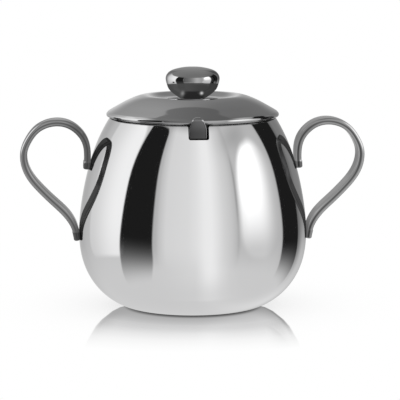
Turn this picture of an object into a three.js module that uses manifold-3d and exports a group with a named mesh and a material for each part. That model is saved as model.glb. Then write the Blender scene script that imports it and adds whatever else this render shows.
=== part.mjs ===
// Covered sugar bowl in polished steel: a round-bellied drawn bowl with a notch
// in its mouth, two bent strap handles, and a lift-off lid. The lid is a pressed
// shell with a welded locating ring underneath, a tongue on its edge that hangs
// in the bowl's notch, and a turned knob held by a screw and washer from below.
//
// Millimetres, +Z up. The origin is the centre of the base's contact ring on the
// table. The handles lie along X, and the notch and tongue face -Y.

import * as THREE from 'three';
import { mergeVertices } from 'three/addons/utils/BufferGeometryUtils.js';
import Module from 'manifold-3d';

const wasm = await Module();
wasm.setup();

// --------------------------------------------------------- shared dimensions

const SHEET = 0.8;                // wall of the drawn bowl, pressed lid and ring
const SEGMENTS = 56;              // facets round the bowl and lid
const JOINT_GAP = 0.3;            // left at the handle welds and under the lid's ring
const FIXING_GAP = 0.2;           // left between lid, washer and screw head
const MOUTH_Z = 87.1;

// ----------------------------------------------------------------- materials

const FINISHES = {
  bowl: { color: 0xc9cacd, roughness: 0.06 },
  handle: { color: 0x9fa0a3, roughness: 0.08 },
  lidShell: { color: 0x85868a, roughness: 0.07 },
  lidRing: { color: 0xb4b5b8, roughness: 0.2 },
  tongue: { color: 0x6f7073, roughness: 0.1 },
  knob: { color: 0x8c8d90, roughness: 0.05 },
  washer: { color: 0xb0b1b4, roughness: 0.25 },
  screw: { color: 0xa8a9ac, roughness: 0.25 },
};

function steel({ color, roughness }) {
  return new THREE.MeshStandardMaterial({ color, roughness, metalness: 1.0 });
}

// ------------------------------------------------------------------- helpers

const toVectors = (points) => points.map(([x, y]) => new THREE.Vector2(x, y));

// Surface of revolution about Z from [radius, height] points, facets starting at -Y.
function revolve(points, segments) {
  return new THREE.LatheGeometry(toVectors(points), segments).rotateX(Math.PI / 2);
}

// The same for a section clear of the axis, closed back to its first point.
function revolveClosed(points, segments) {
  return revolve([...points, points[0]], segments);
}

// The profile moved sideways, to the right of its direction of travel when positive.
function offsetProfile(points, distance) {
  return points.map(([r, z], i) => {
    const before = points[Math.max(i - 1, 0)];
    const after = points[Math.min(i + 1, points.length - 1)];
    const dr = after[0] - before[0];
    const dz = after[1] - before[1];
    const length = Math.hypot(dr, dz);
    return [r + distance * dz / length, z - distance * dr / length];
  });
}

// Every second point of a profile, keeping both ends.
function thin(points) {
  return points.filter((_, i) => i % 2 === 0 || i === points.length - 1);
}

// Manifold solid from a closed surface: seams welded, collapsed triangles dropped.
function toSolid(geometry) {
  const bare = geometry.clone();
  bare.deleteAttribute('normal');
  bare.deleteAttribute('uv');
  const merged = mergeVertices(bare, 1e-4);
  const triangles = [];
  const index = merged.index.array;
  for (let i = 0; i < index.length; i += 3) {
    const [a, b, c] = [index[i], index[i + 1], index[i + 2]];
    if (a !== b && b !== c && c !== a) triangles.push(a, b, c);
  }
  return new wasm.Manifold(new wasm.Mesh({
    numProp: 3,
    vertProperties: new Float32Array(merged.attributes.position.array),
    triVerts: new Uint32Array(triangles),
  }));
}

function toGeometry(solid) {
  const mesh = solid.getMesh();
  const positions = new Float32Array(mesh.vertProperties);
  const geometry = new THREE.BufferGeometry();
  geometry.setAttribute('position', new THREE.BufferAttribute(positions, 3));
  geometry.setIndex(new THREE.BufferAttribute(new Uint32Array(mesh.triVerts), 1));
  geometry.computeVertexNormals();
  return geometry;
}

// Solid plate with its outline in the XZ plane, running from backY towards -Y.
function frontPlate(shape, { backY, depth }) {
  const plate = new THREE.ExtrudeGeometry(shape, {
    depth, bevelEnabled: false, curveSegments: 6,
  });
  return toSolid(plate.rotateX(Math.PI / 2).translate(0, backY, 0));
}

function addMesh(parent, name, geometry, finish) {
  const mesh = new THREE.Mesh(geometry, steel(finish));
  mesh.name = name;
  parent.add(mesh);
  return mesh;
}

// ---------------------------------------------------------------------- bowl

const BASE_RING_INNER_R = 24.0;   // flat contact ring on the table
const BASE_RING_OUTER_R = 27.4;
const BASE_RECESS_R = 22.3;       // pressed-up middle of the base
const BASE_RECESS_Z = 1.2;
const RECESS_INNER_INSET = 0.3;   // inner face's corners, inward of the outer ones
const RING_INNER_INSET = 0.2;
const INNER_WALL_START_Z = 1.0;   // the inner wall's curve begins above this

// Outer profile from the contact ring to the mouth edge, [radius, height].
const BOWL_PROFILE = [
  [BASE_RING_OUTER_R, 0.00], [29.45, 0.13], [31.45, 0.53], [33.56, 1.22], [35.42, 2.06],
  [37.35, 3.15], [39.05, 4.30], [42.32, 7.03], [45.18, 10.18], [47.58, 13.70],
  [49.50, 17.51], [50.91, 21.53], [51.84, 25.69], [52.35, 29.92], [52.50, 34.18],
  [52.23, 40.49], [51.49, 46.93], [50.46, 53.15], [49.12, 59.50], [47.54, 65.61],
  [45.56, 71.78], [43.19, 77.63], [40.29, 83.42], [38.13, MOUTH_Z],
];

// Notch in the mouth at the front, for the lid's tongue.
const NOTCH_WIDTH = 9.1;
const NOTCH_BOTTOM_Z = 81.0;
const NOTCH_CORNER_R = 0.9;
const NOTCH_FLARE_R = 1.1;
const NOTCH_CUT_TOP_Z = MOUTH_Z + 2;
const NOTCH_CUT = { backY: -30, depth: 20 };

// Square-bottomed with small corners, flared where it meets the mouth.
function notchShape() {
  const side = NOTCH_WIDTH / 2;
  const flareX = side + NOTCH_FLARE_R;
  const flareZ = MOUTH_Z - NOTCH_FLARE_R;
  const cornerX = side - NOTCH_CORNER_R;
  const cornerZ = NOTCH_BOTTOM_Z + NOTCH_CORNER_R;
  const shape = new THREE.Shape();
  shape.moveTo(-flareX, NOTCH_CUT_TOP_Z);
  shape.lineTo(-flareX, MOUTH_Z);
  shape.absarc(-flareX, flareZ, NOTCH_FLARE_R, Math.PI / 2, 0, true);
  shape.lineTo(-side, cornerZ);
  shape.absarc(-cornerX, cornerZ, NOTCH_CORNER_R, Math.PI, Math.PI * 1.5, false);
  shape.lineTo(cornerX, NOTCH_BOTTOM_Z);
  shape.absarc(cornerX, cornerZ, NOTCH_CORNER_R, Math.PI * 1.5, Math.PI * 2, false);
  shape.lineTo(side, flareZ);
  shape.absarc(flareX, flareZ, NOTCH_FLARE_R, Math.PI, Math.PI / 2, true);
  shape.lineTo(flareX, NOTCH_CUT_TOP_Z);
  shape.closePath();
  return shape;
}

// Drawn shell: recessed base, contact ring, belly, shoulder, plain mouth edge.
function bowlBody() {
  const outer = [
    [0, BASE_RECESS_Z], [BASE_RECESS_R, BASE_RECESS_Z], [BASE_RING_INNER_R, 0],
    ...BOWL_PROFILE,
  ];
  const innerWall = thin(
    offsetProfile(BOWL_PROFILE, -SHEET).filter(([, z]) => z > INNER_WALL_START_Z));
  innerWall[innerWall.length - 1][1] = MOUTH_Z;
  const recessFloorZ = BASE_RECESS_Z + SHEET;
  const inner = [
    [0, recessFloorZ], [BASE_RECESS_R - RECESS_INNER_INSET, recessFloorZ],
    [BASE_RING_INNER_R - RING_INNER_INSET, SHEET], [BASE_RING_OUTER_R, SHEET],
    ...innerWall,
  ];
  const shell = toSolid(revolve([...outer, ...inner.reverse()], SEGMENTS));
  return toGeometry(shell.subtract(frontPlate(notchShape(), NOTCH_CUT)));
}

// ------------------------------------------------------------------- handles

const STRAP_WIDTH = 11.5;
const STRAP_THICKNESS = 3.5;
const HANDLE_STEPS = 34;

// Centre line of the right handle, [x, z], from the upper end beside the shoulder,
// over the loop, down to the lower end.
const HANDLE_PATH = [
  [48.70, 63.90], [48.45, 68.00], [48.50, 72.35], [49.65, 77.20], [52.80, 81.70],
  [57.15, 84.65], [62.30, 85.70], [67.40, 84.75], [72.05, 81.90], [75.45, 77.40],
  [77.45, 72.35], [77.45, 67.65], [76.05, 63.05], [73.25, 58.55], [69.20, 54.00],
  [64.55, 49.40], [60.00, 45.00], [56.45, 40.65], [54.55, 36.65], [53.70, 33.35],
  [53.40, 31.00],
];

// One edge of the strap's section, [across, towards the inside of the loop], as
// fractions of the half width and half thickness.
const STRAP_EDGE = [
  [0.68, -0.95], [0.86, -0.78], [0.96, -0.45], [1, 0.02],
  [0.96, 0.48], [0.86, 0.82], [0.69, 1],
];

// The inside is flat, the outside slightly crowned, the edges full-round.
function strapSection() {
  const otherEdge = STRAP_EDGE.map(([across, inward]) => [-across, inward]).reverse();
  const outline = [[0, -1], ...STRAP_EDGE, ...otherEdge];
  return new THREE.Shape(toVectors(outline.map(([across, inward]) => [
    across * STRAP_WIDTH / 2, inward * STRAP_THICKNESS / 2,
  ])));
}

// Strap bent in the XZ plane, its ends coped to the bowl's side with the gap left open.
function handleStrap() {
  const extrudePath = new THREE.CatmullRomCurve3(
    HANDLE_PATH.map(([x, z]) => new THREE.Vector3(x, 0, z)), false, 'centripetal');
  const strap = toSolid(new THREE.ExtrudeGeometry(strapSection(), {
    steps: HANDLE_STEPS, extrudePath, bevelEnabled: false,
  }));
  const bowlSpace = toSolid(revolve([
    [0, -1], [BASE_RING_OUTER_R, -1],
    ...offsetProfile(BOWL_PROFILE, JOINT_GAP).filter(([, z]) => z > 0),
    [0, MOUTH_Z + 1],
  ], SEGMENTS));
  return toGeometry(strap.subtract(bowlSpace));
}

// ----------------------------------------------------------------- lid shell

const LID_HOLE_R = 2.4;
const LID_CENTRE_Z = 95.55;       // top of the lid round the hole

// Outer profile from the lip's lower edge to the hole, [radius, height].
const LID_PROFILE = [
  [39.40, 88.00], [39.60, 88.45], [39.60, 89.10], [39.30, 89.65], [38.70, 90.18],
  [37.50, 90.88], [35.00, 92.30], [32.00, 93.98], [29.00, 95.45], [26.50, 96.48],
  [24.20, 97.20], [22.40, 97.52], [21.00, 97.52], [19.20, 97.15], [16.00, 96.20],
  [13.00, 95.68], [10.00, LID_CENTRE_Z], [LID_HOLE_R, LID_CENTRE_Z],
];

// Pressed shell: turned-down lip, conical shoulder, ridge, shallow dish, hole.
function lidShell() {
  const under = offsetProfile(LID_PROFILE, -SHEET);
  const [lipR, lipZ] = LID_PROFILE[0];
  under[0] = [lipR - SHEET, lipZ];
  under[under.length - 1] = [LID_HOLE_R, LID_CENTRE_Z - SHEET];
  return revolveClosed([...LID_PROFILE, ...thin(under.reverse())], SEGMENTS);
}

// ------------------------------------------------------------- locating ring

const RING_FLANGE_R = 38.3;
const RING_SKIRT_R = 36.7;
const RING_BOTTOM_Z = 80.8;

// Flat flange just above the mouth's edge, turned down as a skirt inside the mouth.
function lidRing() {
  const flangeBottomZ = MOUTH_Z + JOINT_GAP;
  const topZ = flangeBottomZ + SHEET;
  const innerR = RING_SKIRT_R - SHEET;
  return revolveClosed([
    [RING_SKIRT_R, RING_BOTTOM_Z], [RING_SKIRT_R, flangeBottomZ],
    [RING_FLANGE_R, flangeBottomZ], [RING_FLANGE_R, topZ],
    [innerR, topZ], [innerR, RING_BOTTOM_Z],
  ], SEGMENTS);
}

// -------------------------------------------------------------------- tongue

const TONGUE_OUTER_R = 41.1;
const TONGUE_THICKNESS = 1.0;
const TONGUE_BOTTOM_Z = 81.75;
const TONGUE_BEND_Z = 88.7;       // the strip bends inward above this
const TONGUE_TOP_Z = 91.0;
const TONGUE_OFFSET_X = -0.35;    // rests to one side of the notch's play
const TONGUE_SIDE_MARGIN = 1;     // bar left each side for trimming
const TONGUE_TRIM = { backY: -34, depth: 12 };

// Side profile, [distance inward from the outer face, height].
const TONGUE_PROFILE = [
  [0, TONGUE_BOTTOM_Z], [0, TONGUE_BEND_Z], [0.17, 89.45], [0.62, 90.15],
  [1.3, 90.7], [2.0, 90.95], [2.6, TONGUE_TOP_Z],
  [2.6, 90.5], [2.1, 90.38],
  [1.55, 89.95], [1.15, 89.35],
  [TONGUE_THICKNESS, TONGUE_BEND_Z], [TONGUE_THICKNESS, TONGUE_BOTTOM_Z],
];

// Front outline: full width in the notch, narrowed to a neck over the lip.
const TONGUE_WIDTH = 7.7;
const TONGUE_NECK_WIDTH = 5.7;
const TONGUE_SHOULDER_Z = 87.0;   // control point of the shoulder curve
const SHOULDER_START_Z = TONGUE_SHOULDER_Z - 1.2;
const SHOULDER_END_Z = TONGUE_SHOULDER_Z + 1.6;
const NECK_FOOT_SPREAD = 0.15;    // extra half width at the neck's foot
const NECK_TOP_Z = 89.4;
const CROWN_SIDE_Z = 90.5;        // control points of the rounded end
const CROWN_INSET = 0.9;

function tongueFrontShape() {
  const side = TONGUE_WIDTH / 2;
  const neck = TONGUE_NECK_WIDTH / 2;
  const neckFoot = neck + NECK_FOOT_SPREAD;
  const crownX = neck - CROWN_INSET;
  const crownZ = TONGUE_TOP_Z + 0.05;
  const cutBottomZ = TONGUE_BOTTOM_Z - 1;
  const shape = new THREE.Shape();
  shape.moveTo(-side, cutBottomZ);
  shape.lineTo(side, cutBottomZ);
  shape.lineTo(side, SHOULDER_START_Z);
  shape.quadraticCurveTo(side, TONGUE_SHOULDER_Z, neckFoot, SHOULDER_END_Z);
  shape.lineTo(neck, NECK_TOP_Z);
  shape.bezierCurveTo(neck, CROWN_SIDE_Z, crownX, crownZ, 0, crownZ);
  shape.bezierCurveTo(-crownX, crownZ, -neck, CROWN_SIDE_Z, -neck, NECK_TOP_Z);
  shape.lineTo(-neckFoot, SHOULDER_END_Z);
  shape.quadraticCurveTo(-side, TONGUE_SHOULDER_Z, -side, SHOULDER_START_Z);
  shape.closePath();
  return shape;
}

// The side profile run across as a bar, then trimmed to the front outline.
function lidTongue() {
  const profile = TONGUE_PROFILE.map(([inward, z]) => [TONGUE_OUTER_R - inward, z]);
  const depth = TONGUE_WIDTH + 2 * TONGUE_SIDE_MARGIN;
  // Profile radius runs along -Y, height along +Z and the bar's length along -X.
  const facingFront = new THREE.Matrix4().makeBasis(
    new THREE.Vector3(0, -1, 0), new THREE.Vector3(0, 0, 1), new THREE.Vector3(-1, 0, 0));
  const bar = new THREE.ExtrudeGeometry(
    new THREE.Shape(toVectors(profile)), { depth, bevelEnabled: false })
    .translate(0, 0, -depth / 2)
    .applyMatrix4(facingFront);
  return toGeometry(toSolid(bar).intersect(frontPlate(tongueFrontShape(), TONGUE_TRIM)));
}

// ---------------------------------------------------------------------- knob

const KNOB_SEGMENTS = 36;
const KNOB_BORE_R = 2.0;
const KNOB_BORE_TOP_Z = 103.6;

// Outer profile from the foot to the top centre, [radius, height].
const KNOB_PROFILE = [
  [5.50, 95.75], [5.80, 95.90], [6.60, 96.40], [8.40, 97.65], [9.75, 98.85],
  [10.55, 99.70], [11.15, 100.6], [11.65, 101.7], [12.10, 103.0], [12.38, 104.3],
  [12.38, 105.3], [12.15, 106.3], [11.60, 107.35], [10.30, 108.5], [8.00, 109.4],
  [4.80, 110.1], [0.00, 110.4],
];

// Turned, flattened ball on a narrow foot, with a blind hole from below.
function lidKnob() {
  const footZ = KNOB_PROFILE[0][1];
  return revolve([
    [0, KNOB_BORE_TOP_Z], [KNOB_BORE_R, KNOB_BORE_TOP_Z], [KNOB_BORE_R, footZ],
    ...KNOB_PROFILE,
  ], KNOB_SEGMENTS);
}

// ---------------------------------------------------------- washer and screw

const WASHER_R = 5.0;
const WASHER_TOP_Z = LID_CENTRE_Z - SHEET - FIXING_GAP;
const WASHER_BOTTOM_Z = WASHER_TOP_Z - 0.8;
const WASHER_SEGMENTS = 28;

const SCREW_SHANK_R = 1.8;
const SCREW_TIP_Z = 102.6;
const SCREW_TIP_TAPER = { inset: 0.5, height: 0.6 };
const SCREW_HEAD_R = 3.7;
const SCREW_HEAD_TOP_Z = WASHER_BOTTOM_Z - FIXING_GAP;
const SCREW_HEAD_BOTTOM_Z = SCREW_HEAD_TOP_Z - 2.2;
const SCREW_SEGMENTS = 24;
const CROSS_SLOT = { length: 4.0, width: 0.9, depth: 1.2 };

// Rounded underside of the head, [radius, height above the head's lowest point].
const SCREW_HEAD_PROFILE = [[0, 0], [1.9, 0.12], [3.0, 0.6], [SCREW_HEAD_R, 1.5]];

function knobWasher() {
  return revolveClosed([
    [LID_HOLE_R, WASHER_BOTTOM_Z], [WASHER_R, WASHER_BOTTOM_Z],
    [WASHER_R, WASHER_TOP_Z], [LID_HOLE_R, WASHER_TOP_Z],
  ], WASHER_SEGMENTS);
}

// Pan-head screw with a cross recess, reaching up through the lid into the knob.
function knobScrew() {
  const blank = toSolid(revolve([
    ...SCREW_HEAD_PROFILE.map(([r, height]) => [r, SCREW_HEAD_BOTTOM_Z + height]),
    [SCREW_HEAD_R, SCREW_HEAD_TOP_Z], [SCREW_SHANK_R, SCREW_HEAD_TOP_Z],
    [SCREW_SHANK_R, SCREW_TIP_Z - SCREW_TIP_TAPER.height],
    [SCREW_SHANK_R - SCREW_TIP_TAPER.inset, SCREW_TIP_Z], [0, SCREW_TIP_Z],
  ], SCREW_SEGMENTS));
  const { length, width, depth } = CROSS_SLOT;
  const [slotX, slotY] = [[length, width], [width, length]].map(([sizeX, sizeY]) => toSolid(
    new THREE.BoxGeometry(sizeX, sizeY, 2 * depth).translate(0, 0, SCREW_HEAD_BOTTOM_Z)));
  return toGeometry(blank.subtract(slotX.add(slotY)));
}

// ------------------------------------------------------------------ assembly

const group = new THREE.Group();
addMesh(group, 'bowl_body', bowlBody(), FINISHES.bowl);

const handle = handleStrap();
addMesh(group, 'handle_right', handle, FINISHES.handle);
addMesh(group, 'handle_left', handle.clone(), FINISHES.handle).rotation.z = Math.PI;

const lid = new THREE.Group();
group.add(lid);
addMesh(lid, 'lid_shell', lidShell(), FINISHES.lidShell);
addMesh(lid, 'lid_ring', lidRing(), FINISHES.lidRing);
addMesh(lid, 'lid_tongue', lidTongue(), FINISHES.tongue).position.x = TONGUE_OFFSET_X;
addMesh(lid, 'lid_knob', lidKnob(), FINISHES.knob);
addMesh(lid, 'knob_washer', knobWasher(), FINISHES.washer);
addMesh(lid, 'knob_screw', knobScrew(), FINISHES.screw);

export default group;
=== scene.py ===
# Covered sugar bowl in polished steel: a bellied bowl with two strap handles and a lid
# with a turned knob. It stands on Z = 0 and is turned about Z; the handles lie at +X and
# -X, and the notch in the rim with the lid's tongue faces the viewer at -Y.
# Shapes are written in millimetres, shaders and the scene in metres.
import math
import bpy
import bmesh
import numpy as np
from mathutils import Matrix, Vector


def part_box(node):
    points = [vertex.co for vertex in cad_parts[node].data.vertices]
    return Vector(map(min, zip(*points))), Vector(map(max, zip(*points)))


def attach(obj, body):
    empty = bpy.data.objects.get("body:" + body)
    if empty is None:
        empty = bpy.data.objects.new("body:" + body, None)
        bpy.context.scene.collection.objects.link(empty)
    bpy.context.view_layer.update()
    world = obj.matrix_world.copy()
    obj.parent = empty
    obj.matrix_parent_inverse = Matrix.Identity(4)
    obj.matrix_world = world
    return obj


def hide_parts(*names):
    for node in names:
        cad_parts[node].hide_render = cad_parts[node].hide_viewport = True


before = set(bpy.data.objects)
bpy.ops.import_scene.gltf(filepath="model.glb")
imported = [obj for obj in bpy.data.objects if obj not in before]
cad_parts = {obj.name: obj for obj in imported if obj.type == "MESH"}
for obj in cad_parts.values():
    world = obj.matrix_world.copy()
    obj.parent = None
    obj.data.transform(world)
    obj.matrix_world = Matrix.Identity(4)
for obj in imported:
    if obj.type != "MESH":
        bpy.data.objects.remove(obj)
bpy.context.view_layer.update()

MM = 0.001
VIEW_AZIMUTH = math.radians(-3.9)


def box_mm(node):
    lo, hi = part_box(node)
    return np.array(lo) / MM, np.array(hi) / MM


bowl_lo, bowl_hi = box_mm("bowl_body")
shell_lo, shell_hi = box_mm("lid_shell")
ring_lo, ring_hi = box_mm("lid_ring")
tongue_lo, tongue_hi = box_mm("lid_tongue")
knob_lo, knob_hi = box_mm("lid_knob")
washer_lo, washer_hi = box_mm("knob_washer")
screw_lo, screw_hi = box_mm("knob_screw")

BELLY_R = (bowl_hi[0] - bowl_lo[0]) / 2
MOUTH_Z = bowl_hi[2]
SHEET = 0.8             # thickness of the bowl and of the lid's cover

# ----------------------------------------------------------------------------
# Curves
# ----------------------------------------------------------------------------


def natural_spline(knots, values, x):
    """Natural cubic spline through (knots, values), evaluated at x."""
    knots, values, x = (np.asarray(a, float) for a in (knots, values, x))
    n = len(knots)
    gap = np.diff(knots)
    lhs = np.zeros((n, n))
    rhs = np.zeros(n)
    lhs[0, 0] = lhs[-1, -1] = 1
    for i in range(1, n - 1):
        lhs[i, i - 1:i + 2] = gap[i - 1], 2 * (gap[i - 1] + gap[i]), gap[i]
        rhs[i] = 6 * ((values[i + 1] - values[i]) / gap[i]
                      - (values[i] - values[i - 1]) / gap[i - 1])
    bend = np.linalg.solve(lhs, rhs)
    i = np.clip(np.searchsorted(knots, x) - 1, 0, n - 2)
    d = knots[i + 1] - knots[i]
    to_next, from_last = knots[i + 1] - x, x - knots[i]
    return (bend[i] * to_next ** 3 + bend[i + 1] * from_last ** 3) / (6 * d) \
        + (values[i] / d - bend[i] * d / 6) * to_next \
        + (values[i + 1] / d - bend[i + 1] * d / 6) * from_last


def arc_lengths(curve):
    return np.concatenate([[0], np.cumsum(np.hypot(*np.diff(curve, axis=0).T))])


def fair_curve(points, n, stiffness):
    """A fair curve of n points close to the given points; it meets both ends."""
    points = np.asarray(points, float)
    place = arc_lengths(points)
    place = place / place[-1] * (n - 1)
    sample = np.zeros((len(points), n))
    for row, at in enumerate(place):
        k = min(int(at), n - 2)
        sample[row, k], sample[row, k + 1] = 1 - (at - k), at - k
    weight = np.ones(len(points))
    weight[[0, -1]] = 1e4
    jerk = np.diff(np.eye(n), 3, axis=0)
    lhs = sample.T @ (weight[:, None] * sample) + stiffness * (n / 100.0) ** 5 * jerk.T @ jerk
    return np.linalg.solve(lhs, sample.T @ (weight[:, None] * points))


def tangents(curve):
    d = np.gradient(curve, axis=0)
    return d / np.linalg.norm(d, axis=1)[:, None]


def offset(curve, dist):
    """2-D curve moved to the right of its direction by dist."""
    t = tangents(np.asarray(curve, float))
    return curve + dist * np.stack([t[:, 1], -t[:, 0]], 1)


def smooth_ramp(x, lo, hi):
    """0 below lo, 1 above hi, smooth between."""
    k = np.clip((x - lo) / (hi - lo), 0, 1)
    return k * k * (3 - 2 * k)


def rounded(points, radii, steps, closed=False):
    """Polyline with its corners rounded; a radius of 0 leaves a corner alone."""
    points = [np.asarray(p, float) for p in points]
    n = len(points)
    out = []
    for i, corner in enumerate(points):
        radius = radii if np.isscalar(radii) else radii[i]
        if (not closed and i in (0, n - 1)) or radius <= 0:
            out.append(corner)
            continue
        back, ahead = points[i - 1] - corner, points[(i + 1) % n] - corner
        back_len, ahead_len = np.linalg.norm(back), np.linalg.norm(ahead)
        back, ahead = back / back_len, ahead / ahead_len
        angle = math.acos(max(-1, min(1, float(back @ ahead))))
        if angle > math.pi - 0.03:
            out.append(corner)
            continue
        trim = min(radius / math.tan(angle / 2), 0.49 * back_len, 0.49 * ahead_len)
        fitted = trim * math.tan(angle / 2)
        bisector = (back + ahead) / np.linalg.norm(back + ahead)
        centre = corner + bisector * (fitted / math.sin(angle / 2))
        start, end = corner + back * trim - centre, corner + ahead * trim - centre
        turn = math.pi - angle
        for k in range(steps + 1):
            f = k / steps
            spoke = (math.sin((1 - f) * turn) * start + math.sin(f * turn) * end) / math.sin(turn)
            out.append(centre + spoke)
    return np.array(out)


def densify(curve, longest, closed=False):
    """Straight stretches longer than `longest` are split evenly."""
    curve = np.asarray(curve, float)
    out = []
    n = len(curve)
    for i in range(n if closed else n - 1):
        a, b = curve[i], curve[(i + 1) % n]
        parts = max(1, int(math.ceil(np.linalg.norm(b - a) / longest)))
        for j in range(parts):
            out.append(a + (b - a) * j / parts)
    if not closed:
        out.append(curve[-1])
    return np.array(out)


# ----------------------------------------------------------------------------
# Mesh builders: millimetres in, metres out
# ----------------------------------------------------------------------------


def shade_smooth(mesh):
    mesh.polygons.foreach_set("use_smooth", [True] * len(mesh.polygons))


def make_object(name, verts, faces):
    mesh = bpy.data.meshes.new(name)
    mesh.from_pydata([tuple(v) for v in np.asarray(verts, float) * MM], [], faces)
    mesh.update()
    shade_smooth(mesh)
    obj = bpy.data.objects.new(name, mesh)
    bpy.context.scene.collection.objects.link(obj)
    return obj


def face_outward(obj):
    bm = bmesh.new()
    bm.from_mesh(obj.data)
    bmesh.ops.recalc_face_normals(bm, faces=bm.faces)
    bm.to_mesh(obj.data)
    bm.free()


def revolve(name, profile, segments, closed=False):
    """Surface of revolution about Z, facets starting at -Y, outward when the
    (radius, z) profile runs up the outside."""
    profile = np.asarray(profile, float)
    verts, faces, rings = [], [], []
    angle = np.arange(segments) * 2 * math.pi / segments
    for r, z in profile:
        if r < 1e-6:
            rings.append([len(verts)])
            verts.append((0, 0, z))
        else:
            rings.append(list(range(len(verts), len(verts) + segments)))
            verts.extend(zip(r * np.sin(angle), -r * np.cos(angle), [z] * segments))
    for i in range(len(profile) if closed else len(profile) - 1):
        a, b = rings[i], rings[(i + 1) % len(profile)]
        if len(a) == 1 and len(b) == 1:
            continue
        for j in range(segments):
            k = (j + 1) % segments
            if len(a) == 1:
                faces.append((a[0], b[k], b[j]))
            elif len(b) == 1:
                faces.append((a[j], a[k], b[0]))
            else:
                faces.append((a[j], a[k], b[k], b[j]))
    return make_object(name, verts, faces)


CAP_STEPS = 6
THINNEST = 0.02         # half size a cap's last ring never goes below


def sweep(name, centres, across, inside, half_w, half_t, section, cap_start, cap_end):
    """Bar along `centres`. `across` is one fixed direction, `inside` one per
    station. `section` is the unit outline, width along `across` and thickness along
    `inside`. Each end is closed by a rounded cap of the given length."""
    centres = np.asarray(centres, float)
    direction = tangents(centres)
    n_sec = len(section)

    def ring(centre, i, inset=None):
        w, t = half_w[i], half_t[i]
        if inset is not None:
            w, t = max(w - inset, THINNEST), max(t - inset, THINNEST)
        return centre + across * (section[:, :1] * w) + inside[i] * (section[:, 1:] * t)

    def cap(i, length, sign):
        out = []
        for k in range(1, CAP_STEPS + 1):
            a = k / CAP_STEPS * math.pi / 2
            centre = centres[i] + sign * direction[i] * length * math.sin(a)
            out.append(ring(centre, i, length * (1 - math.cos(a))))
        return out

    rows = cap(0, cap_start, -1)[::-1]
    rows += [ring(centres[i], i) for i in range(len(centres))]
    rows += cap(len(centres) - 1, cap_end, +1)
    verts = np.concatenate(rows)
    faces = []
    for i in range(len(rows) - 1):
        a, b = i * n_sec, (i + 1) * n_sec
        for j in range(n_sec):
            k = (j + 1) % n_sec
            faces.append((a + j, a + k, b + k, b + j))
    first, last = len(verts), len(verts) + 1
    verts = np.vstack([verts, rows[0].mean(0), rows[-1].mean(0)])
    base = (len(rows) - 1) * n_sec
    for j in range(n_sec):
        k = (j + 1) % n_sec
        faces.append((first, k, j))
        faces.append((last, base + j, base + k))
    obj = make_object(name, verts, faces)
    face_outward(obj)
    return obj


def make_cutter(name, start, end, reverse_sides=False):
    """Closed solid between two outlines with the same number of points."""
    n = len(start)
    sides = [(i, (i + 1) % n, n + (i + 1) % n, n + i) for i in range(n)]
    if reverse_sides:
        sides = [side[::-1] for side in sides]
    faces = [tuple(range(n)), tuple(range(2 * n - 1, n - 1, -1))] + sides
    obj = make_object(name, start + end, faces)
    face_outward(obj)
    return obj


def cut(obj, cutter):
    mod = obj.modifiers.new("cut", "BOOLEAN")
    mod.operation = "DIFFERENCE"
    mod.solver = "EXACT"
    mod.object = cutter
    depsgraph = bpy.context.evaluated_depsgraph_get()
    mesh = bpy.data.meshes.new_from_object(obj.evaluated_get(depsgraph))
    obj.modifiers.clear()
    old = obj.data
    obj.data = mesh
    mesh.name = obj.name
    bpy.data.meshes.remove(old)
    bpy.data.objects.remove(cutter)
    shade_smooth(mesh)


# ----------------------------------------------------------------------------
# Bowl
# ----------------------------------------------------------------------------

# The wall's slope from the table, in degrees, at even steps along its outer
# profile from the contact ring to the mouth.
WALL_SLOPE = [0, 24.3, 39.5, 53.2, 66.2, 78.0, 87.1, 93.4, 97.6, 100.6, 103.4,
              106.8, 111.5, 116.7, 121.9]
WALL_LENGTH = 102.18
WALL_POINTS = 2401      # points the wall is worked out at
WALL_RINGS = 150        # points of it that become rings
CONTACT_R = 27.404
RIM_ROUND = 0.22

BASE_RISE = 1.2             # height of the raised middle of the base
BASE_STEP_R = (22.3, 24.0)  # where its slope ends and starts, underneath
FLOOR_STEP_R = (22.1, 24.2)  # the same on the inside

NOTCH_HALF_W, NOTCH_Z = 9.1 / 2, 81.0
NOTCH_CORNER = 0.9      # rounding of the two lower corners
NOTCH_FLARE = 1.1       # rounding outwards at the rim
NOTCH_Y = (-48, -30)    # reach of the cutter


def bowl_wall():
    """Radius, height and slope of the outer wall at even steps along it."""
    even = np.linspace(0, 1, len(WALL_SLOPE))
    slope = np.radians(natural_spline(even, WALL_SLOPE, np.linspace(0, 1, WALL_POINTS)))
    step = WALL_LENGTH / (WALL_POINTS - 1)

    def travelled(rate):
        return np.concatenate([[0], np.cumsum((rate[1:] + rate[:-1]) / 2)]) * step

    radius = CONTACT_R + travelled(np.cos(slope))
    height = travelled(np.sin(slope))
    height *= MOUTH_Z / height[-1]
    radius *= BELLY_R / radius.max()
    return radius, height, slope


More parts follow.
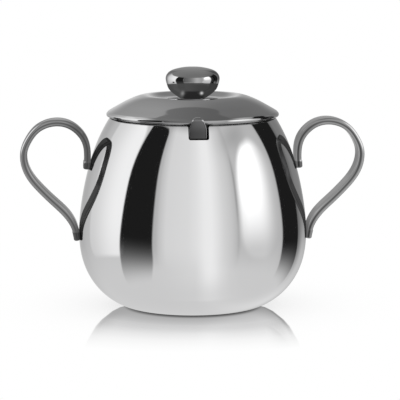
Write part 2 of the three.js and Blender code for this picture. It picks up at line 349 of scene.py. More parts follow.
def bowl_profile(wall):
    radius, height, slope = wall
    outer = np.stack([radius, height], 1)
    inner = outer - SHEET * np.stack([np.sin(slope), -np.cos(slope)], 1)
    # the inner wall is carried on up to the height of the mouth
    lean = (inner[-1, 0] - inner[-60, 0]) / (inner[-1, 1] - inner[-60, 1])
    inner_top = np.array([inner[-1, 0] + (MOUTH_Z - inner[-1, 1]) * lean, MOUTH_Z])

    base = rounded([(0, BASE_RISE), (BASE_STEP_R[0], BASE_RISE), (BASE_STEP_R[1], 0),
                    (radius[0], 0)], [0, 1.2, 0.5, 0], steps=8)
    floor_z = BASE_RISE + SHEET
    floor_in = rounded([(radius[0], SHEET), (FLOOR_STEP_R[1], SHEET),
                        (FLOOR_STEP_R[0], floor_z), (0, floor_z)], [0, 0.8, 1.2, 0], steps=8)
    pick = np.unique(np.linspace(0, WALL_POINTS - 1, WALL_RINGS).astype(int))
    rim = rounded([outer[pick[-2]], outer[-1], inner_top, inner[pick[-2]]],
                  [0, RIM_ROUND, RIM_ROUND, 0], steps=5)
    return np.vstack([densify(base, 2.5)[:-1], outer[pick[:-2]], rim,
                      inner[pick[:-2]][::-1][:-1], densify(floor_in, 2.5)])


def notch_cutter():
    edge = -NOTCH_HALF_W - NOTCH_FLARE
    quarter = np.linspace(0, math.pi / 2, 10)
    left = [(edge, MOUTH_Z + 2), (edge, MOUTH_Z)]
    left += [(edge + NOTCH_FLARE * math.sin(a), MOUTH_Z - NOTCH_FLARE + NOTCH_FLARE * math.cos(a))
             for a in quarter[1:]]
    left += [(-NOTCH_HALF_W + NOTCH_CORNER - NOTCH_CORNER * math.cos(a),
              NOTCH_Z + NOTCH_CORNER - NOTCH_CORNER * math.sin(a)) for a in quarter]
    outline = left + [(-x, z) for x, z in left[::-1]]
    start, end = ([(x, y, z) for x, z in outline] for y in NOTCH_Y)
    return make_cutter("notch_cutter", start, end, reverse_sides=True)


def polish_normals(mesh, wall):
    """Edges of the notch stay crisp; the wall round it keeps the true wall normal.
    Returns the faces of the notch's cut edge."""
    wall_r, wall_z, wall_slope = wall
    cut_edge = []
    mesh.set_sharp_from_angle(angle=math.radians(32))
    normals = np.zeros(len(mesh.loops) * 3)
    mesh.corner_normals.foreach_get("vector", normals)
    normals = normals.reshape(-1, 3)
    points = np.zeros(len(mesh.vertices) * 3)
    mesh.vertices.foreach_get("co", points)
    points = points.reshape(-1, 3) / MM
    for poly in mesh.polygons:
        x, y, z = np.array(poly.center) / MM
        if y > -30 or z < 77 or abs(x) > 9:
            continue
        r = math.hypot(x, y)
        normal = np.array(poly.normal)
        radial = (normal[0] * x + normal[1] * y) / r
        depth = abs(r - float(np.interp(z, wall_z, wall_r)))
        below_rim = z < MOUTH_Z - 0.25
        if depth < 0.08 and radial > 0.5 and below_rim:
            sign = 1
        elif depth > 0.5 and radial < -0.5 and below_rim:
            sign = -1
        else:
            if (abs(x) < NOTCH_HALF_W + NOTCH_FLARE + 0.05 and abs(radial) < 0.9
                    and NOTCH_Z - 0.05 < z < MOUTH_Z - 0.02):
                cut_edge.append(poly.index)
            continue
        for loop in poly.loop_indices:
            vx, vy, vz = points[mesh.loops[loop].vertex_index]
            vr = math.hypot(vx, vy)
            slope = float(np.interp(vz, wall_z, wall_slope))
            normals[loop] = sign * np.array([vx / vr * math.sin(slope),
                                             vy / vr * math.sin(slope), -math.cos(slope)])
    mesh.normals_split_custom_set([tuple(n) for n in normals])
    return cut_edge


def build_bowl():
    wall = bowl_wall()
    obj = revolve("bowl", bowl_profile(wall), 256)
    cut(obj, notch_cutter())
    return obj, polish_normals(obj.data, wall)


bowl, cut_faces = build_bowl()

# ----------------------------------------------------------------------------
# Handles
# ----------------------------------------------------------------------------

# (x, z) along the middle of the right strap, from the upper root over to the lower
HANDLE_PATH = [
    (48.7, 63.9), (48.45, 68), (48.5, 72.35), (49.65, 77.2), (52.85, 81.65),
    (57.2, 84.5), (62.3, 85.45), (67.3, 84.55), (71.95, 81.8), (75.35, 77.35),
    (77.4, 72.35), (77.45, 67.65), (76.05, 63.05), (73.25, 58.55), (69.2, 54),
    (64.55, 49.4), (59.95, 45.05), (56.4, 40.7), (54.45, 36.7), (53.6, 33.35),
    (53.3, 31),
]
STRAP_W, STRAP_T = 11.5, 3.5
# thickness as a share of STRAP_T: a little heavier down the outer leg than over the top
THICK_AT = [0, .06, .14, .28, .45, .60, .78, .88, .95, 1]
THICK = [.87, .89, .94, .98, .91, 1.0, 1.03, 1.03, .89, .78]
FOOT_WIDER, FOOT_PROUD = 0.12, 0.14     # added to the half width and half thickness
HANDLE_TRIM, HANDLE_CAP = 0.7, 0.75     # the caps make up for what is trimmed


def strap_section():
    """Unit section: x across the strap, y towards the inside of the loop. The
    inside is flat, the outside slightly crowned, the edges full-round."""
    steps = 9
    e = STRAP_T / STRAP_W
    a = np.linspace(-math.radians(86), 0, steps)
    low = np.stack([1 - e + e * np.cos(a), 0.95 * np.sin(a)], 1)
    a = np.linspace(0, math.pi / 2, steps)[1:]
    high = np.stack([1 - e + e * np.cos(a), np.sin(a)], 1)
    x = np.linspace(0, low[0, 0], 7)[:-1]
    crown = np.stack([x, -1 + (1 + low[0, 1]) * (x / low[0, 0]) ** 2], 1)
    flat = np.array([[(1 - e) * k, 1.0] for k in (0.96, 0.85, 0.5, 0.0)])
    half = np.vstack([crown, low, high, flat])
    return np.vstack([half, (half[1:-1] * [-1, 1])[::-1]])


def make_handle(name, side):
    """One strap; side is 1 for +X and -1 for -X."""
    path = fair_curve(HANDLE_PATH, 260, 0.4)
    t = tangents(path)
    inward = np.stack([t[:, 1], -t[:, 0]], 1)
    arc = arc_lengths(path)
    end = arc[-1]
    # a short foot at each end stands a little proud on the side away from the bowl
    foot_top = 1 - smooth_ramp(arc, 3.0, 3.6)
    foot_low = smooth_ramp(arc, end - 4.6, end - 3.9)
    thick = natural_spline(THICK_AT, THICK, arc / end)
    half_w = np.full(len(arc), STRAP_W / 2) + FOOT_WIDER * (foot_top + foot_low)
    half_t = STRAP_T / 2 * thick + FOOT_PROUD * (foot_top + foot_low)
    path = path + inward * (FOOT_PROUD * foot_top - FOOT_PROUD * foot_low)[:, None]
    level = np.zeros(len(path))
    centres = np.stack([side * path[:, 0], level, path[:, 1]], 1)
    inside = np.stack([side * inward[:, 0], level, inward[:, 1]], 1)
    keep = (arc > HANDLE_TRIM) & (arc < end - HANDLE_TRIM)
    return sweep(name, centres[keep], np.array([0.0, 1.0, 0.0]), inside[keep],
                 half_w[keep], half_t[keep], strap_section(), HANDLE_CAP, HANDLE_CAP)


handle_r = make_handle("handle_right_strap", 1)
handle_l = make_handle("handle_left_strap", -1)

# ----------------------------------------------------------------------------
# Lid
# ----------------------------------------------------------------------------

LID_R, LIP_Z = shell_hi[0], shell_lo[2]
LID_HOLE_R = 2.4
# (radius, z) over the lid, from the lip to the middle
LID_TOP = [
    (38.70, 90.15), (37.50, 90.88), (35.00, 92.30), (32.00, 93.98), (29.00, 95.45),
    (26.50, 96.48), (24.20, 97.20), (22.40, 97.52), (21.00, 97.50), (19.20, 97.15),
    (16.00, 96.20), (13.00, 95.68), (10.00, 95.55), (7.00, 95.55),
]
# (inset from LID_R, rise from LIP_Z) up the lip
LIP = [(0.25, 0), (0, 0.40), (0, 1.15), (0.85, 2.12)]

RING_SHEET = 0.8
RING_SKIRT_R = 36.7     # outside of the ring's upright skirt

TONGUE_T = 1.0
TONGUE_FRONT = -tongue_lo[1]
# (inset from the front face, z) along the tongue's middle, bent over at its upper end
TONGUE_PATH = [
    (TONGUE_T / 2, tongue_lo[2]), (TONGUE_T / 2, 83.5), (TONGUE_T / 2, 85.5),
    (TONGUE_T / 2, 87.4), (0.52, 88.7), (0.75, 89.6), (1.25, 90.25), (1.9, 90.6), (2.35, 90.68),
]
TONGUE_HALF_W = (tongue_hi[0] - tongue_lo[0]) / 2
TONGUE_NECK_HALF_W = 2.55
TONGUE_TIP_HALF_W = 0.55
TONGUE_ARCH_Z = 89.2    # from here the outline rounds over to the tip


def build_lid_cover():
    top = fair_curve(LID_TOP, 120, 0.004)
    hole_z = top[-1][1]
    lip = rounded([(LID_R - inset, LIP_Z + rise) for inset, rise in LIP] + [top[4]],
                  [0, 0.4, 0.8, 1.3, 0], steps=8)
    outer = np.vstack([lip[:-1], top[4:], [(LID_HOLE_R, hole_z)]])
    under = offset(outer, -SHEET)
    under = under[(under[:, 1] > LIP_Z + 0.35)]
    under = np.vstack([[(LID_R - LIP[0][0] - SHEET, LIP_Z)], under[:-1],
                       [(LID_HOLE_R, hole_z - SHEET)]])
    profile = np.vstack([outer, under[::-1]])
    return revolve("lid_cover", densify(profile, 1.2, closed=True), 224, closed=True)


def build_lid_ring():
    """An upright skirt with a flange outwards at its top."""
    bottom, top, flange_r = ring_lo[2], ring_hi[2], ring_hi[0]
    profile = rounded([
        (RING_SKIRT_R, bottom), (RING_SKIRT_R, top - RING_SHEET), (flange_r, top - RING_SHEET),
        (flange_r, top), (RING_SKIRT_R - RING_SHEET, top), (RING_SKIRT_R - RING_SHEET, bottom),
    ], [0.3, 0.35, 0.3, 0.3, 1.0, 0.3], closed=True, steps=6)
    return revolve("lid_locating_ring", densify(profile, 1.5, closed=True), 192, closed=True)


def squared_section(n, power):
    """Unit section: a rectangle with rounded corners."""
    a = np.linspace(0, 2 * math.pi, n, endpoint=False)
    x, y = np.cos(a), np.sin(a)
    r = (np.abs(x) ** power + np.abs(y) ** power) ** (-1 / power)
    return np.stack([x * r, y * r], 1)


def build_tongue():
    """A strip with rounded edges at the front, bent over the lip at its upper end."""
    path = fair_curve([(TONGUE_FRONT - inset, z) for inset, z in TONGUE_PATH], 90, 0.00002)
    t = tangents(path)
    inward = np.stack([-t[:, 1], t[:, 0]], 1)
    arc = arc_lengths(path)
    z = path[:, 1]
    neck = smooth_ramp(z, 85.2, 90.2)
    half_w = TONGUE_HALF_W + (TONGUE_NECK_HALF_W - TONGUE_HALF_W) * neck
    arch = np.clip((z - TONGUE_ARCH_Z) / (z.max() + 0.12 - TONGUE_ARCH_Z), 0, 1)
    half_w = half_w * np.clip(1 - arch ** 2.2, 0, 1) ** 0.5
    tail = np.clip((arc[-1] - arc) / 0.9, 0, 1)
    half_w = np.maximum(half_w, TONGUE_TIP_HALF_W * (0.35 + 0.65 * tail))
    tip = np.clip((arc - (arc[-1] - 2.0)) / 2.0, 0, 1)
    half_t = np.full(len(path), TONGUE_T / 2) * (1 - 0.35 * tip)
    middle_x = np.full(len(path), (tongue_lo[0] + tongue_hi[0]) / 2)
    return sweep("lid_tongue_strip",
                 np.stack([middle_x, -path[:, 0], z], 1), np.array([1.0, 0.0, 0.0]),
                 np.stack([np.zeros(len(path)), -inward[:, 0], inward[:, 1]], 1),
                 half_w, half_t, squared_section(36, 4.0), cap_start=0.3, cap_end=0.25)


lid_shell = build_lid_cover()
lid_ring = build_lid_ring()
tongue = build_tongue()

# ----------------------------------------------------------------------------
# Knob and its fixings
# ----------------------------------------------------------------------------

# (radius, z) up the outside of the knob
KNOB_SIDE = [
    (5.80, 95.95), (6.60, 96.45), (8.40, 97.70), (9.75, 98.85), (10.60, 99.75),
    (11.20, 100.6), (11.65, 101.7), (12.05, 103.0), (12.33, 104.2), (12.40, 105.1),
    (12.20, 106.2), (11.60, 107.3), (10.30, 108.45), (8.00, 109.4), (4.80, 110.1), (1.5, 110.38),
]
KNOB_BASE_R = 5.55
BORE_R, BORE_WALL_Z, BORE_TIP_Z = 2.0, 103.3, 103.6     # blind hole from underneath

WASHER_HOLE_R = 2.4

HEAD_LO = screw_lo[2]
HEAD_HI = HEAD_LO + 2.15
HEAD_R = screw_hi[0]
SHANK_R, THREAD_ROOT_R, THREAD_PITCH = 1.8, 1.5, 0.7
# (radius, rise) over one turn of the thread
THREAD_TURN = [(THREAD_ROOT_R, 0), (THREAD_ROOT_R, 0.1), (SHANK_R, 0.32), (SHANK_R, 0.4),
               (THREAD_ROOT_R, 0.62)]
RECESS_ARM, RECESS_HALF_W = 2.0, 0.45   # cross recess in the head
RECESS_DEPTH, RECESS_TAPER = 1.3, 0.7


def build_knob():
    side = fair_curve(KNOB_SIDE, 120, 0.004)
    side[:, 0] *= knob_hi[0] / side[:, 0].max()
    bottom, top = knob_lo[2], knob_hi[2]
    underside = rounded([(0, BORE_TIP_Z), (BORE_R, BORE_WALL_Z), (BORE_R, bottom),
                         (KNOB_BASE_R, bottom), side[0], side[3]],
                        [0, 0, 0.2, 0.35, 0.3, 0], steps=6)
    profile = np.vstack([densify(underside, 1.0)[:-1], side[3:], [(0.7, top - 0.005), (0, top)]])
    return revolve("lid_knob_turned", profile, 128)


def build_washer():
    lo, hi, r = washer_lo[2], washer_hi[2], washer_hi[0]
    profile = rounded([(WASHER_HOLE_R, lo), (r, lo), (r, hi), (WASHER_HOLE_R, hi)],
                      0.15, closed=True, steps=4)
    return revolve("knob_washer_ring", densify(profile, 0.8, closed=True), 96, closed=True)


def recess_cutter():
    """A cross that narrows upwards into the head."""
    arm, half = RECESS_ARM, RECESS_HALF_W
    cross = [(-arm, -half), (-half, -half), (-half, -arm), (half, -arm), (half, -half),
             (arm, -half), (arm, half), (half, half), (half, arm), (-half, arm),
             (-half, half), (-arm, half)]
    return make_cutter("cross_cutter", [(x, y, HEAD_LO - 1) for x, y in cross],
                       [(x * RECESS_TAPER, y * RECESS_TAPER, HEAD_LO + RECESS_DEPTH)
                        for x, y in cross])


def build_screw():
    """A pan-head screw, head down, its shank turned as separate grooves."""
    head = rounded([(0, HEAD_LO), (1.9, HEAD_LO + 0.1), (3.1, HEAD_LO + 0.6),
                    (HEAD_R, HEAD_LO + 1.5), (HEAD_R, HEAD_HI), (SHANK_R, HEAD_HI),
                    (SHANK_R, HEAD_HI + 0.4)], [0, 1.5, 1.5, 0.8, 0.15, 0, 0], steps=6)
    thread = []
    z = HEAD_HI + 0.5
    while z < screw_hi[2] - 0.8:
        thread += [(r, z + rise) for r, rise in THREAD_TURN]
        z += THREAD_PITCH
    profile = np.vstack([densify(head, 0.5), thread, [(1.2, screw_hi[2]), (0, screw_hi[2])]])
    obj = revolve("knob_screw_pan", profile, 72)
    cut(obj, recess_cutter())
    obj.data.set_sharp_from_angle(angle=math.radians(35))
    return obj


knob = build_knob()
washer = build_washer()
screw = build_screw()

# ----------------------------------------------------------------------------
# Node helpers
# ----------------------------------------------------------------------------


class Value:
    """A number in a node tree. Arithmetic on it adds the nodes that work it out."""

    def __init__(self, graph, socket):
        self.graph = graph
        self.socket = socket

    def __add__(self, b): return self.graph.math("ADD", self, b)
    def __radd__(self, a): return self.graph.math("ADD", a, self)
    def __sub__(self, b): return self.graph.math("SUBTRACT", self, b)
    def __rsub__(self, a): return self.graph.math("SUBTRACT", a, self)
    def __mul__(self, b): return self.graph.math("MULTIPLY", self, b)
    def __rmul__(self, a): return self.graph.math("MULTIPLY", a, self)
    def __truediv__(self, b): return self.graph.math("DIVIDE", self, b)
    def __pow__(self, b): return self.graph.math("POWER", self, b)
    def __rpow__(self, a): return self.graph.math("POWER", a, self)
    def __abs__(self): return self.graph.math("ABSOLUTE", self)
    def max(self, b): return self.graph.math("MAXIMUM", self, b)
    def min(self, b): return self.graph.math("MINIMUM", self, b)
    def sqrt(self): return self.graph.math("SQRT", self)

    def sin_deg(self):
        return self.graph.math("SINE", self.graph.math("RADIANS", self))

    def cos_deg(self):
        return self.graph.math("COSINE", self.graph.math("RADIANS", self))

    def rise(self, lo, hi):
        """0 below lo, 1 above hi, smooth between."""
        return self.graph.value("ShaderNodeMapRange",
                                {"Value": self, "From Min": lo, "From Max": hi},
                                interpolation_type="SMOOTHSTEP")

    def fall(self, lo, hi):
        """1 below lo, 0 above hi, smooth between."""
        return 1.0 - self.rise(lo, hi)

    def band(self, lo, hi, soft):
        """1 between lo and hi, 0 outside."""
        return self.rise(lo - soft, lo + soft) * self.fall(hi - soft, hi + soft)

    def gauss(self, centre, width):
        d = (self - centre) / width
        return math.e ** (d * d * -1.0)

    def mix(self, at_zero, at_one):
        """Blend of two values, this one being the factor."""
        return self.graph.value("ShaderNodeMix", {0: self, 2: at_zero, 3: at_one},
                                data_type="FLOAT")

    def curve(self, stops):
        """Piecewise-linear value over this one, given as [(position, value), ...]."""
        lo, hi = stops[0][0], stops[-1][0]
        node = self.graph.node("ShaderNodeValToRGB", {0: (self - lo) / float(hi - lo)})
        ramp = node.color_ramp
        ramp.interpolation = "LINEAR"
        ramp.elements[0].color = (stops[0][1],) * 3 + (1,)
        ramp.elements[-1].color = (stops[-1][1],) * 3 + (1,)
        for at, v in stops[1:-1]:
            ramp.elements.new((at - lo) / (hi - lo)).color = (v, v, v, 1)
        return self.graph.value("ShaderNodeSeparateColor", {0: node.outputs[0]})


class Graph:
    """The emptied node tree of a world or material. Inputs take numbers, sockets and
    Values."""

    def __init__(self, owner):
        owner.use_nodes = True
        self.tree = owner.node_tree
        self.tree.nodes.clear()

    def put(self, socket, value):
        if isinstance(value, Value):
            value = value.socket
        if isinstance(value, bpy.types.NodeSocket):
            self.tree.links.new(value, socket)
        else:
            socket.default_value = value

    def node(self, kind, inputs={}, **settings):
        node = self.tree.nodes.new(kind)
        for key, value in settings.items():
            setattr(node, key, value)
        for key, value in inputs.items():
            self.put(node.inputs[key], value)
        return node

    def value(self, kind, inputs={}, output=0, **settings):
        return Value(self, self.node(kind, inputs, **settings).outputs[output])

    def math(self, operation, *operands):
        return self.value("ShaderNodeMath", dict(enumerate(operands)), operation=operation)

    def split(self, vector):
        node = self.node("ShaderNodeSeparateXYZ", {0: vector})
        return [Value(self, out) for out in node.outputs]

    def colour(self, red, green, blue):
        return self.node("ShaderNodeCombineColor", {0: red, 1: green, 2: blue}).outputs[0]

    def mix_shader(self, factor, first, second):
        return self.node("ShaderNodeMixShader", {0: factor, 1: first, 2: second}).outputs[0]

    def angles(self, vector):
        """Bearing from the viewer, positive to the right, and elevation, in degrees."""
        x, y, z = self.split(vector)
        cos, sin = math.cos(VIEW_AZIMUTH), math.sin(VIEW_AZIMUTH)
        right = x * cos + y * sin
        to_viewer = x * sin - y * cos
        az = self.math("DEGREES", self.math("ARCTAN2", right, to_viewer))
        el = self.math("DEGREES", self.math("ARCSINE", z.max(-1.0).min(1.0)))
        return az, el

    def round_box(self, x, y, *, centre, half, corner, soft):
        """1 inside a rounded box, 0 outside, with a soft edge."""
        over_x = abs(x - centre[0]) - self.math("SUBTRACT", half[0], corner)
        over_y = abs(y - centre[1]) - (half[1] - corner)
        out_x, out_y = over_x.max(0.0), over_y.max(0.0)
        outside = (out_x * out_x + out_y * out_y).sqrt()
        dist = (outside + over_x.max(over_y).min(0.0)) - corner
        return dist.fall(-soft, soft)


# ----------------------------------------------------------------------------
# Studio: what polished metal sees. Two dark flags, a bright panel on the left, a
# soft lamp on the right, a grey ceiling and a pale table. Places are (bearing,
# elevation) in degrees; levels are brightness.
# ----------------------------------------------------------------------------

# (bearing, level) round the room; 0 is towards the viewer
WALLS = [
    (-180, .66), (-170, .56), (-158, .42), (-146, .42), (-136, .47), (-126, .50), (-100, .56),
    (-80, .56), (-44, .42), (-37, .45), (-34, .54), (-27, .66), (-5, .695), (4, .75), (12, .83),
    (19, .84), (25, .76), (32, .65), (40, .565), (47, .45), (50, .50), (62, .48), (84, .50),
    (98, .46), (134, .13), (141, .20), (158, .22), (172, .34), (177, .48), (180, .66),
]
# the same for the upper part of the back wall
BACK_HIGH = [(-180, .22), (-166, .27), (-150, .32), (-130, .42), (130, .12), (150, .145),
             (166, .17), (180, .22)]
# (place across the table, left to right, share of the pale strip's brightness)
TABLE_STRIP = [
    (-1, 0.0), (-.7, 0.02), (-.45, .10), (-.1, .27), (.05, .34), (.14, .60), (.22, .88),
    (.30, 1.0), (.38, .88), (.48, .50), (.60, .16), (.72, .03), (1, 0.0),
]
TABLE_LEVEL = 0.588
FLAG_LEVEL = 0.011
HALO_LEVEL = 0.32
ROOM_GAIN = 1.03
DOME_LEVEL = 1.136      # even light on everything that isn't a mirror
BACKDROP_LEVEL = 1.0    # what the camera sees directly


def studio_table(az, el):
    """The lower half: a pale strip runs across the table towards the viewer."""
    cos_low = el.min(0.0).cos_deg()
    across = az.sin_deg() * cos_low / (0.55 + cos_low * 0.45)
    profile = across.curve(TABLE_STRIP)
    strip = el.rise(-78, -28).mix(0.10, 0.25) * abs(az).rise(80, 125).mix(1.0, 0.45)
    return TABLE_LEVEL + profile * strip


def studio_walls(az, el):
    """The walls, darker high up at the back and never very dark low down there."""
    walls = az.curve(WALLS)
    back = az.rise(136, 150).max(az.fall(-152, -132))
    walls = (back * el.rise(4, 26)).mix(walls, az.curve(BACK_HIGH))
    return back.mix(walls, walls.max(el.fall(-14, 4) * 0.45))


def add_panel(g, az, el, room):
    """Bright panel on the left, brighter to its right, with rounded corners."""
    panel = g.round_box(az, el, centre=(-100.0, 14.0), half=(26.5, 31.0), corner=9.0, soft=2.2)
    level = 0.65 + az.rise(-126, -82) * 0.23
    level = el.rise(-16, 8).mix(level * 0.93, level)
    return panel.mix(room, level)


def add_ceiling(az, el, room):
    """Grey ceiling, darker to the right; its edge is softer at the back."""
    ceiling = (az.sin_deg() * el.cos_deg()).rise(-0.35, 0.25).mix(0.168, 0.112)
    edge = abs(az).rise(140, 152).mix(el.rise(50, 63), el.rise(57.3, 58.7))
    return edge.mix(room, ceiling)


def add_lamp(g, az, el, room):
    """Soft lamp on the right: bright above, falling off below and to the right, with
    a halo over it and a seam on its left."""
    lamp = g.round_box(az, el, centre=(74.0, 8.0), half=(24.0, 26.5), corner=21.0, soft=3.5)
    glow = el.rise(-13, 21) * az.rise(70, 97).mix(1.0, 0.10)
    glow = glow * az.rise(50, 60).mix(0.70, 1.0)
    level = az.rise(76, 99).mix(0.585, 0.45) + glow * 0.72
    halo = az.gauss(66.0, 22.0) * el.gauss(42.0, 7.0)
    room = (halo * 0.65).mix(room, HALO_LEVEL)
    room = lamp.mix(room, level)
    seam = az.gauss(46.6, 1.1) * el.band(-14.0, 30.0, soft=8.0)
    return room * (1.0 - seam * el.rise(2, 14).mix(0.08, 0.30))


def studio_flags(g, az, el):
    """The left and right dark flags, bent sideways and fading out low down."""
    low = (el + 15.0).min(0.0)
    centre = -58.7 + el * 0.085 - low * low * 0.012
    left = g.round_box(az, el, centre=(centre, 0.0), half=(18.3 - el * 0.055, 52.5),
                       corner=5.0, soft=1.1)
    left = left * el.rise(-50, -2)
    low = (el + 8.0).min(0.0)
    centre = 118.0 + low * low * 0.010
    right = g.round_box(az, el, centre=(centre, 0.0), half=(15.5, 43.0), corner=5.0, soft=1.3)
    return left, right * el.rise(-37, -8)


def build_studio():
    world = bpy.data.worlds.new("studio")
    bpy.context.scene.world = world
    g = Graph(world)
    az, el = g.angles(g.node("ShaderNodeTexCoord").outputs["Generated"])
    room = el.rise(-36, -4).mix(studio_table(az, el), studio_walls(az, el))
    room = add_panel(g, az, el, room)
    room = add_ceiling(az, el, room)
    room = add_lamp(g, az, el, room)
    for flag in studio_flags(g, az, el):
        room = flag.mix(room, FLAG_LEVEL)
    room = room * ROOM_GAIN

    path = g.node("ShaderNodeLightPath")
    glossy, transmitted, camera = (
        Value(g, path.outputs[f"Is {kind} Ray"]) for kind in ("Glossy", "Transmission", "Camera"))
    level = glossy.max(transmitted).mix(DOME_LEVEL, room)
    level = camera.mix(level, BACKDROP_LEVEL)
    background = g.node("ShaderNodeBackground", {"Color": g.colour(level, level, level)})
    g.node("ShaderNodeOutputWorld", {"Surface": background.outputs[0]})
    world.cycles.sampling_method = "NONE"


build_studio()

# ----------------------------------------------------------------------------
# Metal
# ----------------------------------------------------------------------------

METAL_LEVEL = 1.0
CLOUD_SCALE, WEAR_SCALE, WAVE_SCALE = 45.0, 160.0, 28.0
FINE_SCALE = {"round": 7000.0, "along": 9000.0, None: 6000.0}
ROUND_SKEW = 0.015              # keeps round marks from closing into perfect rings
ALONG_STRETCH = (0.05, 1.0, 0.05)


def metal(name, colour, rough, *, turned, grain=None, waviness=0.0, wear=0.0, room_dim=None,
          seen_dim=None, satin=None, painted_reflection=None, painted_share=0.0, shade=None):
    """Polished steel.

    turned, waviness: heights in metres of the fine marks and of the broad waves.
    grain: "round" about Z, "along" across Y, or None; wear: roughness of rub marks.
    room_dim(g, view, point): share kept of the studio's reflection, painted into the colour as
    painted shade.
    seen_dim: level when seen in another mirror, a painted reflection level.
    satin: (mask function, roughness), for round grain only.
    painted_reflection, painted_share: a painted reflection of a simpler room of the piece's own,
    given off as glow, and its share.
    shade: (reach in metres, strength below the rim, strength at the rim) of the painted shade in
    dark gaps.
    """
    mat = bpy.data.materials.new(name)
    g = Graph(mat)
    coord = g.node("ShaderNodeTexCoord").outputs
    place = coord["Object"]
    point = x, y, z = g.split(place)

    def noise(vector, scale, detail=2.0, roughness=0.5):
        return g.value("ShaderNodeTexNoise", {"Vector": vector, "Scale": scale,
                                              "Detail": detail, "Roughness": roughness})

    def combine(*parts):
        return g.node("ShaderNodeCombineXYZ", dict(enumerate(parts))).outputs[0]

    # broad, very faint cloudiness from hand polishing
    cloud = noise(place, CLOUD_SCALE, 3.0)
    # fine rubbing marks, long along one direction
    grain_place = place
    if grain == "round":
        radius = (x * x + y * y).sqrt()
        grain_place = combine(radius + x * ROUND_SKEW, z + y * ROUND_SKEW, 0.0)
    elif grain == "along":
        grain_place = combine(*(p * stretch for p, stretch in zip(point, ALONG_STRETCH)))
    fine = noise(grain_place, FINE_SCALE[grain])

    roughness = rough + (cloud - 0.5) * (rough * 0.8)
    roughness = roughness + (fine - 0.5) * (rough * 0.9)
    if wear > 0:
        # sparse dull rub marks
        spots = noise(place, WEAR_SCALE, 4.0, 0.6).rise(0.62, 0.74)
        roughness = roughness + spots * wear
    if satin is not None:
        mask, amount = satin
        roughness = mask(g, point, radius).mix(roughness, amount + (fine - 0.5) * 0.18)

    def seen(dim):
        glossy = g.value("ShaderNodeLightPath", output="Is Glossy Ray")
        return glossy.mix(1.0, dim)

    clouded = cloud.mix(0.985, 1.0)
    level = clouded * METAL_LEVEL
    # painted shade and painted reflection: the colour is scaled by what the piece should see
    if room_dim is not None:
        level = level * room_dim(g, g.angles(coord["Reflection"]), point)
    if seen_dim is not None:
        level = level * seen(seen_dim)
    if shade is not None:
        # painted shade: narrow gaps are darkened by occlusion, less so on the rim beside the
        # notch
        reach, below_rim, at_rim = shade
        openness = g.value("ShaderNodeAmbientOcclusion", {"Distance": reach}, "AO", samples=8)
        open_rim = z.rise(0.0866, 0.0873) * abs(x).rise(0.0056, 0.0070)
        level = level * openness ** open_rim.mix(below_rim, at_rim)

    tint = g.colour(*(level * channel for channel in colour))
    height = fine * turned + noise(place, WAVE_SCALE, 1.0) * waviness
    bump = g.node("ShaderNodeBump", {"Strength": 1.0, "Distance": 1.0, "Height": height})
    bsdf = g.node("ShaderNodeBsdfPrincipled", {
        "Base Color": tint, "Metallic": 1.0, "Roughness": roughness.max(0.01),
        "Normal": bump.outputs[0]})
    # painted reflection: part of the piece's look is given off as glow from a simpler room of its
    # own
    if painted_reflection is not None:
        lit = painted_reflection(g, g.angles(coord["Reflection"]), point) * clouded * painted_share
        lit = lit * (1.0 + (fine - 0.5) * 0.10)
        if seen_dim is not None:
            lit = lit * seen(seen_dim * 0.6)
        g.put(bsdf.inputs["Emission Color"], g.colour(lit, lit, lit))
        g.put(bsdf.inputs["Specular Tint"], tint)
        bsdf.inputs["Emission Strength"].default_value = 1.0
    g.node("ShaderNodeOutputMaterial", {"Surface": bsdf.outputs[0]})
    return mat


# ----------------------------------------------------------------------------
# What each piece sees, painted into its colour as painted shade and painted reflection. `view` is
# the bearing and elevation of the reflection in degrees, `point` the place on the piece in
# metres.
# ----------------------------------------------------------------------------

SIGHT_SLOPE = 0.1405    # fall of the line of sight: heights as seen from the front
# the straps' own room is a painted reflection, given off as glow
HANDLE_GLOW_SHARE = 0.72     # share of the straps' reflection from their own room


def bowl_room(g, view, point):
    """The mouth is shaded by the lid and the foot by the table."""
    z = point[2]
    foot = z.rise(0.0, 0.0008).mix(0.10, 1.0)
    return foot * z.rise(0.0867, 0.0871).mix(1.0, 0.85)


def bowl_satin(g, point, radius):
    """Satin where the surface turns inwards (inside of the bowl) and under the base."""
    x, y, z = point
    nx, ny, nz = g.split(g.node("ShaderNodeNewGeometry").outputs["Normal"])
    radial = (x * nx + y * ny) / radius.max(0.001)
    wall = radial.fall(-0.3, -0.1) * z.rise(0.0015, 0.003)
    floor_in = nz.rise(0.3, 0.6) * z.fall(0.012, 0.02)
    under = z.fall(0.0013, 0.0018) * radius.fall(0.0262, 0.0275)
    return wall.max(floor_in).max(under)


def lid_room(g, view, point):
    """Painted shade on the lid's reflection: the lid looks past the table's bright front into a
    darker room; its lip is shaded underneath."""
    az, el = view
    x, y, z = point
    front = az.band(-40.0, 47.0, 3.0) * el.rise(-32.0, -22.0) * el.fall(52.0, 60.0)
    level = front.mix(1.0, az.rise(-8.0, 50.0).mix(0.21, 0.75))
    # painted shade: the flanks of the dish round the knob see less of the lamps
    side = abs(x)
    seen = z + y * SIGHT_SLOPE - (side - 0.011) * 0.07
    flank = seen.gauss(0.0963, 0.0008) * side.rise(0.0095, 0.0125)
    level = level * flank.mix(1.0, 0.50)
    return level * z.rise(0.0879, 0.0889).mix(0.30, 1.0)


